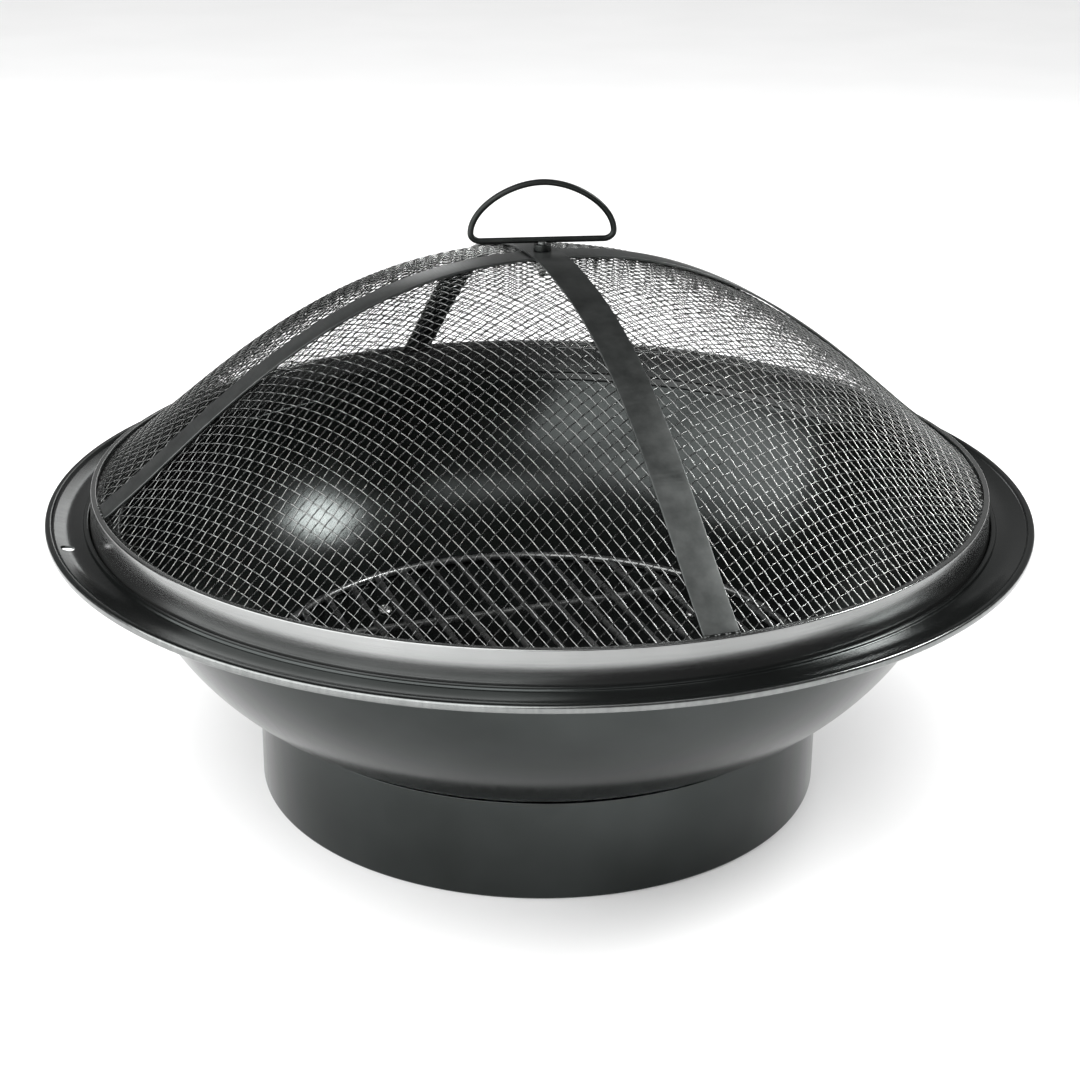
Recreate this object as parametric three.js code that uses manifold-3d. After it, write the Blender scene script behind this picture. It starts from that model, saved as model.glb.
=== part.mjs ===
// Round wood-burning fire pit: a sheet-steel bowl on a ring base, a rod grate and a lift-off spark screen.
// Millimetres, +Z up. The origin is the centre of the base ring's foot, on the ground.

import * as THREE from "three";
import { mergeVertices } from "three/addons/utils/BufferGeometryUtils.js";
import Module from "manifold-3d";

const wasm = await Module();
wasm.setup();

// ---- Driving dimensions ----

const GAP = 0.3; // between touching pieces
const SHEET = 1.6; // bowl, base ring and skirt
const ROUND = 64; // facets round the large turned pieces

// Base ring
const BASE_RADIUS = 221.6;
const FOOT_WIDTH = 9;

// Bowl: a flat floor, one large arc for the wall, a ledge for the screen, a flange and a rolled bead
const RIM_RADIUS = 375;
const BEAD_RADIUS = 3;
const BEAD_Z = 227.6;
const CREASE_RADIUS = 343;
const CREASE_Z = 227;
const FLANGE_DIP = { radius: 357, depth: 1.8 }; // the flange is dished between its crease and its bead
const LEDGE_Z = 220;
const WALL_RADIUS = 205; // of the outside arc
const WALL_CENTRE = new THREE.Vector2(120, 257);
const WALL_STEPS = 12;
const FACET_RISE = 0.45; // how far the wall's inside facets stand inside its true arc
const FLANGE_HOLE = { radius: 5, at: 361, azimuth: 199.6 };

// Fixings between bowl and base ring
const BRACKET_COUNT = 4;
const BRACKET_WIDTH = 24;
const BRACKET_SHEET = 2.5;
const BRACKET_DROP = 26;
const FIXING_AT = 190; // distance of each bolt from the axis
const BOLT_RADIUS = 3;
const BOLT_CLEARANCE = 3.3;
const BOLT_HEAD = { radius: 6, height: 3.4 };
const BOLT_LENGTH = 16;
const NUT_ACROSS_CORNERS = 11.5;
const NUT_HEIGHT = 5;

// Grate: parallel rods inside a ring, on two cross bars
const GRATE_Z = 84;
const GRATE_RING_BAR = 3;
const GRATE_ROD = 2.5;
const GRATE_CROSS_BAR = 3;
const ROD_PITCH = 26;
const RODS_EACH_SIDE = 8;
const CROSS_BAR_OFFSET = 110;
const CROSS_BAR_HALF = 168;

// Screen: skirt, hem ring, mesh dome, two straps, handle
const SKIRT_RADIUS = 340; // at its top, from where it widens a little towards its foot
const SKIRT_FOOT_RADIUS = 342.4;
const SKIRT_LIP = 4; // turned in along the skirt's top edge
const SKIRT_TOP = 251.6;
const HEM_WIDTH = 7;
const HEM_SHEET = 1.2;
const MESH_EDGE_RADIUS = 337.5;
const MESH_APEX_Z = 413.5;
const MESH_THICKNESS = 1.8;
const STRAP_WIDTH = 25;
const STRAP_SHEET = 2;
const STRAP_AZIMUTH = -70; // the upper strap, which also sets the grate's rods
const STRAP_CLEARANCE = 0.65; // over the mesh, so that the strap's facets clear the mesh's
const CROSSING_FLAT = 19; // the upper strap is level out to here
const CROSSING_RADIUS = 75; // and has come down to the mesh here
const HANDLE_AZIMUTH = 8;
const HANDLE_ROD = 2.3;
const HANDLE_BAR_Z = 427.5;
const HANDLE = { halfWidth: 53.6, widestZ: 433.5, topZ: 470.6, cornerX: 46 };
const BOSS_RADIUS = 6.8;
const STUD_RADIUS = 3;
const STUD_CLEARANCE = 3.4;
const STUD_END_Z = 400.5;
const WASHER = { radius: 9, height: 1.5 };

const radians = THREE.MathUtils.degToRad;

// ---- Materials ----

const paint = (color, roughness, metalness) => new THREE.MeshStandardMaterial({ color, roughness, metalness });
const BOWL_PAINT = { color: 0x191c1c, roughness: 0.32, metalness: 0.4 };
const MESH_PAINT = { color: 0x2b2e2e, roughness: 0.45, metalness: 0.6 };
const STRAP_PAINT = { color: 0x2e3232, roughness: 0.42, metalness: 0.5 };
const GRATE_STEEL = { color: 0x1d1f1f, roughness: 0.5, metalness: 0.6 };
const FIXING_STEEL = { color: 0x3a3c3c, roughness: 0.4, metalness: 0.8 };

// ---- Helpers ----

const point = (r, z) => new THREE.Vector2(r, z);

function arc(centre, radius, fromDegrees, toDegrees, steps) {
  return Array.from({ length: steps + 1 }, (_, i) => {
    const angle = radians(fromDegrees + ((toDegrees - fromDegrees) * i) / steps);
    return point(centre.x + radius * Math.cos(angle), centre.y + radius * Math.sin(angle));
  });
}

// Turns an (r, z) outline, drawn anticlockwise, about the Z axis.
function turned(outline, segments = ROUND) {
  return new THREE.LatheGeometry(outline, segments).rotateX(Math.PI / 2);
}

function turnedRing(outline, segments = ROUND) {
  return turned([...outline, outline[0]], segments);
}

function cylinder(radius, zLow, zHigh, sides = 16) {
  return new THREE.CylinderGeometry(radius, radius, zHigh - zLow, sides)
    .rotateX(Math.PI / 2)
    .translate(0, 0, (zLow + zHigh) / 2);
}

// A flat outline in X and Z, given a thickness along Y and centred on Y = 0.
function plate(outline, width) {
  return new THREE.ExtrudeGeometry(new THREE.Shape(outline), { depth: width, bevelEnabled: false, steps: 1 })
    .rotateX(Math.PI / 2)
    .translate(0, width / 2, 0);
}

function toSolid(geometry) {
  const bare = geometry.clone();
  bare.deleteAttribute("normal");
  bare.deleteAttribute("uv");
  const merged = mergeVertices(bare, 1e-3);
  const index = merged.index.array;
  const kept = [];
  for (let i = 0; i < index.length; i += 3) {
    const [a, b, c] = index.slice(i, i + 3);
    if (a !== b && b !== c && c !== a) kept.push(a, b, c);
  }
  return new wasm.Manifold(
    new wasm.Mesh({
      numProp: 3,
      vertProperties: new Float32Array(merged.attributes.position.array),
      triVerts: new Uint32Array(kept),
    }),
  );
}

function fromSolid(solid) {
  const { vertProperties, triVerts } = solid.getMesh();
  const geometry = new THREE.BufferGeometry();
  geometry.setAttribute("position", new THREE.BufferAttribute(vertProperties, 3));
  geometry.setIndex(new THREE.BufferAttribute(triVerts, 1));
  geometry.computeVertexNormals();
  return geometry;
}

// Cuts each tool geometry out of a geometry.
function cut(geometry, tools) {
  const solid = tools.reduce((rest, tool) => rest.subtract(toSolid(tool)), toSolid(geometry));
  return fromSolid(solid);
}

const fire_pit = new THREE.Group();

function add(name, geometry, finish, parent = fire_pit) {
  const mesh = new THREE.Mesh(geometry, paint(finish.color, finish.roughness, finish.metalness));
  mesh.name = name;
  parent.add(mesh);
  return mesh;
}

// A group turned to an azimuth about the Z axis, in degrees.
function facing(azimuth) {
  const group = new THREE.Group();
  group.rotation.z = radians(azimuth);
  fire_pit.add(group);
  return group;
}

// ---- Bowl ----

// The wall's inside or outside arc, from under the centre up to a height.
function wallArc(radius, topZ) {
  const topAngle = THREE.MathUtils.radToDeg(Math.asin((topZ - WALL_CENTRE.y) / radius));
  return arc(WALL_CENTRE, radius, -90, topAngle, WALL_STEPS);
}

function bowlOutline() {
  const bead = point(RIM_RADIUS - BEAD_RADIUS, BEAD_Z);
  const beadArc = arc(bead, BEAD_RADIUS, 172, 495, 7);
  const flangeDip = point(FLANGE_DIP.radius, CREASE_Z - FLANGE_DIP.depth);
  const floorZ = WALL_CENTRE.y - WALL_RADIUS;
  return [
    point(0, floorZ),
    ...wallArc(WALL_RADIUS, LEDGE_Z - SHEET),
    point(CREASE_RADIUS + SHEET, LEDGE_Z - SHEET),
    point(CREASE_RADIUS + SHEET, CREASE_Z - SHEET),
    point(flangeDip.x, flangeDip.y - SHEET),
    ...beadArc,
    flangeDip,
    point(CREASE_RADIUS + SHEET, CREASE_Z),
    point(CREASE_RADIUS, CREASE_Z - 0.6),
    point(CREASE_RADIUS, LEDGE_Z),
    ...wallArc(WALL_RADIUS - SHEET, LEDGE_Z).reverse(),
    point(0, floorZ + SHEET),
  ];
}

// The slope of the wall where the fixing bolts pass through it.
const FIXING_SLOPE = Math.asin((FIXING_AT - WALL_CENTRE.x) / WALL_RADIUS);

// Places a geometry whose Z axis is the bolt's axis, with Z = 0 on the wall's outside surface.
function onFixing(geometry) {
  return geometry
    .rotateY(-FIXING_SLOPE)
    .translate(FIXING_AT, 0, WALL_CENTRE.y - WALL_RADIUS * Math.cos(FIXING_SLOPE));
}

const fixingAzimuth = (i) => 45 + (360 / BRACKET_COUNT) * i;

function bowl() {
  const bolt = () => onFixing(cylinder(BOLT_CLEARANCE, -10, 10, 12));
  const bolts = Array.from({ length: BRACKET_COUNT }, (_, i) => bolt().rotateZ(radians(fixingAzimuth(i))));
  const flangeHole = cylinder(FLANGE_HOLE.radius, CREASE_Z - 10, CREASE_Z + 10)
    .translate(FLANGE_HOLE.at, 0, 0)
    .rotateZ(radians(FLANGE_HOLE.azimuth));
  add("fire_bowl", cut(turned(bowlOutline()), [...bolts, flangeHole]), BOWL_PAINT);
}

// ---- Base ring and its fixings ----

// The height of the wall's outside surface at a distance from the axis.
function wallOutsideZ(r) {
  return WALL_CENTRE.y - Math.sqrt(WALL_RADIUS ** 2 - (r - WALL_CENTRE.x) ** 2);
}

function baseRing() {
  const inner = BASE_RADIUS - SHEET;
  const top = wallOutsideZ(inner) - GAP;
  const outline = [
    point(inner - FOOT_WIDTH, 0),
    point(BASE_RADIUS, 0),
    point(BASE_RADIUS, top),
    point(inner, top),
    point(inner, SHEET),
    point(inner - FOOT_WIDTH, SHEET),
  ];
  add("base_ring", turnedRing(outline), BOWL_PAINT);
}

// One leg against the ring's inside, the other along the wall's underside, with a bolt hole.
function bracketGeometry() {
  const tangent = Math.tan(FIXING_SLOPE);
  const undersideZ = (r) => wallOutsideZ(FIXING_AT) + (r - FIXING_AT) * tangent - GAP;
  const outside = BASE_RADIUS - SHEET - 0.9;
  const innerEnd = FIXING_AT - 14;
  const thickness = BRACKET_SHEET / Math.cos(FIXING_SLOPE);
  const outline = [
    point(innerEnd, undersideZ(innerEnd)),
    point(innerEnd, undersideZ(innerEnd) - thickness),
    point(outside - BRACKET_SHEET, undersideZ(outside) - thickness),
    point(outside - BRACKET_SHEET, undersideZ(outside) - BRACKET_DROP),
    point(outside, undersideZ(outside) - BRACKET_DROP),
    point(outside, undersideZ(outside)),
  ];
  return cut(plate(outline, BRACKET_WIDTH), [onFixing(cylinder(BOLT_CLEARANCE, -10, 10, 12))]);
}

function boltGeometry() {
  const headSeat = SHEET + FACET_RISE + GAP;
  const outline = [
    point(0, headSeat - BOLT_LENGTH),
    point(BOLT_RADIUS, headSeat - BOLT_LENGTH),
    point(BOLT_RADIUS, headSeat),
    point(BOLT_HEAD.radius, headSeat),
    point(BOLT_HEAD.radius * 0.8, headSeat + BOLT_HEAD.height * 0.7),
    point(0, headSeat + BOLT_HEAD.height),
  ];
  return onFixing(turned(outline, 12));
}

// A hexagon nut between two heights, with a clear hole for its screw.
function nutGeometry(zLow, zHigh) {
  const hexagon = cylinder(NUT_ACROSS_CORNERS / 2, zLow, zHigh, 6);
  return cut(hexagon, [cylinder(BOLT_CLEARANCE, zLow - 1, zHigh + 1, 12)]);
}

function fixings() {
  const nutTop = -2 * GAP - BRACKET_SHEET;
  for (let i = 0; i < BRACKET_COUNT; i++) {
    const side = facing(fixingAzimuth(i));
    add(`base_bracket_${i + 1}`, bracketGeometry(), BOWL_PAINT, side);
    add(`base_bolt_${i + 1}`, boltGeometry(), FIXING_STEEL, side);
    add(`base_nut_${i + 1}`, onFixing(nutGeometry(nutTop - NUT_HEIGHT, nutTop)), FIXING_STEEL, side);
  }
}

// ---- Grate ----

// The ring's centre line, where its round bar rests on the wall.
const RING_FROM_CENTRE = WALL_RADIUS - SHEET - FACET_RISE - GAP - GRATE_RING_BAR;
const GRATE_RADIUS = WALL_CENTRE.x + Math.sqrt(RING_FROM_CENTRE ** 2 - (WALL_CENTRE.y - GRATE_Z) ** 2);

function grateRing() {
  const section = arc(point(GRATE_RADIUS, GRATE_Z), GRATE_RING_BAR, 0, 315, 7);
  add("grate_ring", turnedRing(section, 48), GRATE_STEEL);
}

// A round bar along X, centred on x = 0.
function bar(radius, halfLength, y, z) {
  return cylinder(radius, -halfLength, halfLength, 8)
    .rotateY(Math.PI / 2)
    .translate(0, y, z);
}

function grateRods() {
  const side = facing(STRAP_AZIMUTH);
  // the ring's inside, at the middle of one of its facets
  const reach = (GRATE_RADIUS - GRATE_RING_BAR) * Math.cos(Math.PI / 48) - GAP;
  for (let i = -RODS_EACH_SIDE; i <= RODS_EACH_SIDE; i++) {
    const offset = i * ROD_PITCH;
    const halfLength = Math.sqrt(reach ** 2 - (Math.abs(offset) + GRATE_ROD) ** 2);
    const name = `grate_rod_${String(i + RODS_EACH_SIDE + 1).padStart(2, "0")}`;
    add(name, bar(GRATE_ROD, halfLength, offset, GRATE_Z), GRATE_STEEL, side);
  }
}

function grateCrossBars() {
  const side = facing(STRAP_AZIMUTH + 90);
  const z = GRATE_Z - GRATE_ROD - GRATE_CROSS_BAR - GAP;
  add("grate_cross_bar_1", bar(GRATE_CROSS_BAR, CROSS_BAR_HALF, CROSS_BAR_OFFSET, z), GRATE_STEEL, side);
  add("grate_cross_bar_2", bar(GRATE_CROSS_BAR, CROSS_BAR_HALF, -CROSS_BAR_OFFSET, z), GRATE_STEEL, side);
}

// ---- Spark screen ----

const MESH_EDGE_Z = SKIRT_TOP - SHEET - GAP - MESH_THICKNESS / 2;

// The mesh's middle surface: a flattened dome that runs out level at its clamped edge.
function domeZ(r) {
  const share = Math.min(r / MESH_EDGE_RADIUS, 1);
  return MESH_EDGE_Z + (MESH_APEX_Z - MESH_EDGE_Z) * (1 - share ** 2.27) ** 1.23;
}

function skirt() {
  const inner = SKIRT_RADIUS - SHEET;
  const outline = [
    point(SKIRT_FOOT_RADIUS, LEDGE_Z + GAP),
    point(SKIRT_RADIUS, SKIRT_TOP),
    point(SKIRT_RADIUS - SKIRT_LIP, SKIRT_TOP),
    point(SKIRT_RADIUS - SKIRT_LIP, SKIRT_TOP - SHEET),
    point(inner, SKIRT_TOP - SHEET),
    point(SKIRT_FOOT_RADIUS - SHEET, LEDGE_Z + GAP),
  ];
  add("screen_skirt", turnedRing(outline), STRAP_PAINT);
}

// The flat ring that clamps the mesh's edge up against the skirt's lip.
function hemRing() {
  const top = MESH_EDGE_Z - MESH_THICKNESS / 2 - GAP;
  const inner = MESH_EDGE_RADIUS - HEM_WIDTH;
  const outline = [
    point(inner, top - HEM_SHEET),
    point(MESH_EDGE_RADIUS, top - HEM_SHEET),
    point(MESH_EDGE_RADIUS, top),
    point(inner, top),
  ];
  add("screen_hem_ring", turnedRing(outline), STRAP_PAINT);
}

function meshDome() {
  const steps = 12;
  const radii = Array.from({ length: steps + 1 }, (_, i) =>
    THREE.MathUtils.lerp(STUD_CLEARANCE, SKIRT_RADIUS - SKIRT_LIP - 1, Math.sin((Math.PI / 2) * (i / steps))),
  );
  const half = MESH_THICKNESS / 2;
  const edge = [point(MESH_EDGE_RADIUS, MESH_EDGE_Z - half), point(MESH_EDGE_RADIUS, MESH_EDGE_Z + half)];
  const flatten = (r) => Math.max(domeZ(r), MESH_EDGE_Z);
  const under = radii.map((r) => point(r, flatten(r) - half));
  const over = radii.map((r) => point(r, flatten(r) + half)).reverse();
  under.at(-1).y = MESH_EDGE_Z - half;
  over[0].y = MESH_EDGE_Z + half;
  add("screen_mesh", turnedRing([...under, ...edge, ...over], 48), MESH_PAINT);
}

// A flat strap over the whole dome, raised at its middle by an extra height.
function strapGeometry(crossingRise) {
  const end = SKIRT_RADIUS - SKIRT_LIP - 1;
  const steps = 12;
  const climb = (r) => 1 - THREE.MathUtils.smoothstep(r, CROSSING_FLAT, CROSSING_RADIUS);
  const undersideZ = (r) => domeZ(r) + MESH_THICKNESS / 2 + STRAP_CLEARANCE + crossingRise * climb(r);
  const half = Array.from({ length: steps }, (_, i) => end * ((i + 1) / steps) ** 1.15);
  const along = [...half.map((r) => -r).reverse(), ...half];
  const under = along.map((r) => point(r, undersideZ(Math.abs(r))));
  const over = along.map((r) => point(r, undersideZ(Math.abs(r)) + STRAP_SHEET)).reverse();
  const hole = cylinder(STUD_CLEARANCE, MESH_APEX_Z - 10, MESH_APEX_Z + 20, 12);
  return cut(plate([...under, ...over], STRAP_WIDTH), [hole]);
}

function straps() {
  const lower = facing(STRAP_AZIMUTH + 90);
  const upper = facing(STRAP_AZIMUTH);
  add("strap_lower", strapGeometry(0), STRAP_PAINT, lower);
  add("strap_upper", strapGeometry(STRAP_SHEET + GAP), STRAP_PAINT, upper);
}

// The handle's closed centre line in the XZ plane: a straight bar, tight corners and a tall arch.
function handlePath() {
  const { halfWidth, widestZ, topZ, cornerX } = HANDLE;
  const at = (x, z) => new THREE.Vector3(x, 0, z);
  const path = new THREE.CurvePath();
  const archX = halfWidth * 0.48;
  const archZ = widestZ + (topZ - widestZ) * 0.48;
  const cornerZ = HANDLE_BAR_Z + (widestZ - HANDLE_BAR_Z) * 0.45;
  const turnX = cornerX + (halfWidth - cornerX) * 0.55;
  const bend = (a, b, c, d) => path.add(new THREE.CubicBezierCurve3(a, b, c, d));
  path.add(new THREE.LineCurve3(at(0, HANDLE_BAR_Z), at(cornerX, HANDLE_BAR_Z)));
  bend(at(cornerX, HANDLE_BAR_Z), at(turnX, HANDLE_BAR_Z), at(halfWidth, cornerZ), at(halfWidth, widestZ));
  bend(at(halfWidth, widestZ), at(halfWidth, archZ), at(archX, topZ), at(0, topZ));
  bend(at(0, topZ), at(-archX, topZ), at(-halfWidth, archZ), at(-halfWidth, widestZ));
  bend(at(-halfWidth, widestZ), at(-halfWidth, cornerZ), at(-turnX, HANDLE_BAR_Z), at(-cornerX, HANDLE_BAR_Z));
  path.add(new THREE.LineCurve3(at(-cornerX, HANDLE_BAR_Z), at(0, HANDLE_BAR_Z)));
  return path;
}

// A round rod bent along the closed handle path, as one ring of eight-sided sections.
function handleGeometry() {
  const sides = 8;
  const steps = 64;
  const path = handlePath();
  const positions = [];
  for (let i = 0; i < steps; i++) {
    const centre = path.getPointAt(i / steps);
    const along = path.getTangentAt(i / steps);
    const outward = new THREE.Vector3(along.z, 0, -along.x);
    for (let j = 0; j < sides; j++) {
      const angle = (j / sides) * 2 * Math.PI;
      positions.push(
        centre.x + HANDLE_ROD * Math.cos(angle) * outward.x,
        HANDLE_ROD * Math.sin(angle),
        centre.z + HANDLE_ROD * Math.cos(angle) * outward.z,
      );
    }
  }
  const index = [];
  for (let i = 0; i < steps; i++) {
    for (let j = 0; j < sides; j++) {
      const a = i * sides + j;
      const b = i * sides + ((j + 1) % sides);
      const c = ((i + 1) % steps) * sides + j;
      const d = ((i + 1) % steps) * sides + ((j + 1) % sides);
      index.push(a, b, c, b, d, c);
    }
  }
  const geometry = new THREE.BufferGeometry();
  geometry.setAttribute("position", new THREE.Float32BufferAttribute(positions, 3));
  geometry.setIndex(index);
  geometry.computeVertexNormals();
  return geometry;
}

function handle() {
  const turnedGroup = facing(HANDLE_AZIMUTH);
  add("handle_loop", handleGeometry(), STRAP_PAINT, turnedGroup);
  const bossLow = MESH_APEX_Z + MESH_THICKNESS / 2 + STRAP_CLEARANCE + 2 * STRAP_SHEET + 2 * GAP;
  const bossHigh = HANDLE_BAR_Z - HANDLE_ROD - GAP;
  const studTop = bossHigh - 1.6;
  const bore = cylinder(STUD_CLEARANCE, bossLow - 1, studTop + GAP, 12);
  add("handle_boss", cut(cylinder(BOSS_RADIUS, bossLow, bossHigh, 20), [bore]), STRAP_PAINT);
  add("handle_stud", cylinder(STUD_RADIUS, STUD_END_Z, studTop, 12), FIXING_STEEL);
  const washerTop = MESH_APEX_Z - MESH_THICKNESS / 2 - 2 * GAP;
  const washerLow = washerTop - WASHER.height;
  const washerHole = cylinder(STUD_CLEARANCE, washerLow - 1, washerTop + 1, 12);
  add("handle_washer", cut(cylinder(WASHER.radius, washerLow, washerTop, 20), [washerHole]), FIXING_STEEL);
  const nutTop = washerLow - GAP;
  add("handle_nut", nutGeometry(nutTop - NUT_HEIGHT, nutTop), FIXING_STEEL);
}

// ---- Assembly ----

bowl();
baseRing();
fixings();
grateRing();
grateRods();
grateCrossBars();
skirt();
hemRing();
meshDome();
straps();
handle();

export default fire_pit;
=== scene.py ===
# Fire pit with a rod grate and a lift-off mesh screen: the visual model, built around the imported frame.
# Metres, +Z up. The front of the fire pit faces -Y, where the camera stands.

import math
from random import Random

import bmesh
import bpy
import numpy as np
from mathutils import Matrix, Vector


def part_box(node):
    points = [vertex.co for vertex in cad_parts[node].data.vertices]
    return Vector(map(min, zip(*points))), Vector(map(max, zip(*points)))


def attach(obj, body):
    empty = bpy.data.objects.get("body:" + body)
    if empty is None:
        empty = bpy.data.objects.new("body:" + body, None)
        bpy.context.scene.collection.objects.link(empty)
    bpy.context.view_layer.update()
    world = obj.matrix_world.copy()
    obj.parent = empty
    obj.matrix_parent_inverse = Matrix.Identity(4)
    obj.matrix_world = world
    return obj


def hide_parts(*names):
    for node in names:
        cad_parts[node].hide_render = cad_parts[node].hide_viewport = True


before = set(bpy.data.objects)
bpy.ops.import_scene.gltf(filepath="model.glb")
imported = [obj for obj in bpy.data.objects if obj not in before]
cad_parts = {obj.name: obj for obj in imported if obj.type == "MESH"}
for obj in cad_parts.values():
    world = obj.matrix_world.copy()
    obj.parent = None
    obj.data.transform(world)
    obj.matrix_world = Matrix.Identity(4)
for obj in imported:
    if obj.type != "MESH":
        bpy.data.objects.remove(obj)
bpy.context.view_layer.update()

# ---- Driving dimensions ----

MM = 0.001


def low(node):
    """The least corner of a CAD node's box."""
    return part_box(node)[0]


def high(node):
    """The greatest corner of a CAD node's box."""
    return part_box(node)[1]


SHEET = 1.6 * MM
GAP = 0.3 * MM
BOLT_HOLE = 3.3 * MM
STUD_HOLE = 3.4 * MM

# Bowl: a flat floor, one arc for the wall, a ledge, a flange and a rolled bead
FLOOR_UNDER = low("fire_bowl").z
RIM_RADIUS = high("fire_bowl").x
BEAD_RADIUS = 3 * MM
BEAD_Z = high("fire_bowl").z - BEAD_RADIUS
BEAD_SQUARENESS = 0.7
WALL_RADIUS = 205 * MM
WALL_START = 120 * MM
WALL_CENTRE_Z = FLOOR_UNDER + WALL_RADIUS
LEDGE_Z = low("screen_skirt").z - GAP
CREASE_RADIUS = 343 * MM
CREASE_Z = 227 * MM
RIDGE_RISE = 1.3 * MM
DIP_RADIUS = 357 * MM
DIP_Z = CREASE_Z - 1.8 * MM
# The rolled bead's outer face, where the paint is made lighter as a painted reflection of the floor.
RIM_PAINTED_REFLECTION = (RIM_RADIUS - 1.6 * MM, RIM_RADIUS - 0.6 * MM)
FLANGE_HOLE = {"radius": 5 * MM, "at": 361 * MM, "azimuth": 199.6}

# Base ring and its fixings
BASE_RADIUS = high("base_ring").x
BASE_TOP = high("base_ring").z
FOOT_WIDTH = 9 * MM
BRACKET_WIDTH = 24 * MM
BRACKET_SHEET = 2.5 * MM
BRACKET_DROP = 26 * MM
BRACKET_AZIMUTHS = (45, 135, 225, 315)
FIXING_AT = 190 * MM
BOLT_RADIUS = 3 * MM
THREAD_PITCH = 1 * MM
THREAD_DEPTH = 0.35 * MM
BOLT_SEAT = SHEET + 0.75 * MM
BOLT_HEAD_RADIUS = 6 * MM
BOLT_SHANK = 16 * MM
NUT_ACROSS_FLATS = 10 * MM
NUT_HEIGHT = 5 * MM
NUT_TOP = -(BRACKET_SHEET + 2 * GAP)

# Grate
GRATE_Z = (low("grate_ring").z + high("grate_ring").z) / 2
GRATE_RING_BAR = 3 * MM
GRATE_RADIUS = high("grate_ring").x - GRATE_RING_BAR
CAD_HOOP_SIDES = 48
GRATE_ROD = 2.5 * MM
ROD_PITCH = 26 * MM
ROD_COUNT = 17
CROSS_BAR_OFFSET = 110 * MM
CROSS_BAR_HALF = 168 * MM
CROSS_BAR_Z = GRATE_Z - 5.8 * MM

# Screen
SKIRT_FOOT_RADIUS = high("screen_skirt").x
SKIRT_TOP_RADIUS = SKIRT_FOOT_RADIUS - 2.4 * MM
SKIRT_TOP = high("screen_skirt").z
SKIRT_LOW = low("screen_skirt").z
LIP_RADIUS = SKIRT_TOP_RADIUS - 4 * MM
HEM_LOW = low("screen_hem_ring").z
HEM_TOP = high("screen_hem_ring").z
HEM_RADIUS = high("screen_hem_ring").x
HEM_WIDTH = 7 * MM
MESH_HALF_DEPTH = 0.9 * MM
MESH_EDGE_RADIUS = high("screen_mesh").x
MESH_EDGE_Z = low("screen_mesh").z + MESH_HALF_DEPTH
MESH_APEX_Z = high("screen_mesh").z - MESH_HALF_DEPTH
DOME_FULLNESS = (2.27, 1.23)
DOME_RUN_OUT = (LIP_RADIUS - 12 * MM, LIP_RADIUS - 1 * MM)
WIRE_RADIUS = 0.43 * MM
WIRE_PITCH = 6.6 * MM
WIRE_AZIMUTHS = (45, 135)
WIRE_END_RADIUS = MESH_EDGE_RADIUS - 1.5 * MM
LAST_WIRE_OFFSET = MESH_EDGE_RADIUS - 12 * MM
STRAP_AZIMUTH = -70
STRAP_WIDTH = 25 * MM
STRAP_SHEET = 2 * MM
STRAP_LIFT = 1.55 * MM
CROSSING_RISE = 2.3 * MM
CROSSING_FLAT = 19 * MM
CROSSING_RADIUS = 75 * MM
STRAP_WELDS = (-10.5 * MM, -3.5 * MM, 4 * MM, 11 * MM)

# Handle and its fixing
HANDLE_AZIMUTH = 8
HANDLE_ROD = 2.3 * MM
HANDLE_TOP = high("handle_loop").z - HANDLE_ROD
HANDLE_BAR_Z = low("handle_loop").z + HANDLE_ROD
HANDLE_HALF_WIDTH = 53.6 * MM
HANDLE_WIDEST_Z = HANDLE_BAR_Z + 6 * MM
HANDLE_CORNER_X = 46 * MM
STUD_RADIUS = 3 * MM
WASHER_RADIUS = 9 * MM


# ---- Shape helpers: a part is (vertices, faces) ----

def grid_faces(rows, columns, closed_rows, closed_columns):
    """The quads between neighbouring points of a rows by columns grid."""
    faces = []
    for i in range(rows if closed_rows else rows - 1):
        for j in range(columns if closed_columns else columns - 1):
            following = (i + 1) % rows * columns
            across = (j + 1) % columns
            faces.append((i * columns + j, i * columns + across, following + across, following + j))
    return faces


def end_caps(rows, columns):
    """The two faces that close the ends of a tube-like grid."""
    return [tuple(range(columns)), tuple(range((rows - 1) * columns, rows * columns))]


def turned(outline, segments=192):
    """Turns a list of (r, z) about Z. It closes on itself, or starts and ends on the axis."""
    on_axis = outline[0][0] == 0
    ring = outline[1:-1] if on_axis else outline
    count = len(ring)
    vertices = []
    for k in range(segments):
        angle = 2 * math.pi * k / segments
        vertices += [(r * math.cos(angle), r * math.sin(angle), z) for r, z in ring]
    faces = grid_faces(segments, count, True, not on_axis)
    if on_axis:
        for j, z in ((0, outline[0][1]), (count - 1, outline[-1][1])):
            centre = len(vertices)
            vertices.append((0, 0, z))
            faces += [(centre, k * count + j, (k + 1) % segments * count + j) for k in range(segments)]
    return vertices, faces


def rounded(corners, steps=6):
    """An outline through (x, z, radius) corners, each rounded by about its radius."""
    points = []
    for k, (x, z, radius) in enumerate(corners):
        corner = Vector((x, z))
        if radius == 0:
            points.append((x, z))
            continue
        before = Vector(corners[k - 1][:2]) - corner
        after = Vector(corners[(k + 1) % len(corners)][:2]) - corner
        reach = min(radius, before.length / 2, after.length / 2)
        start = corner + before.normalized() * reach
        end = corner + after.normalized() * reach
        for i in range(steps + 1):
            t = i / steps
            p = start * (1 - t) ** 2 + corner * 2 * t * (1 - t) + end * t ** 2
            points.append((p.x, p.y))
    return points


def arc(centre_x, centre_z, radius, start, end, steps):
    """Points on an arc, with its start and end angles in degrees."""
    angles = [math.radians(start + (end - start) * i / steps) for i in range(steps + 1)]
    return [(centre_x + radius * math.cos(a), centre_z + radius * math.sin(a)) for a in angles]


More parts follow.
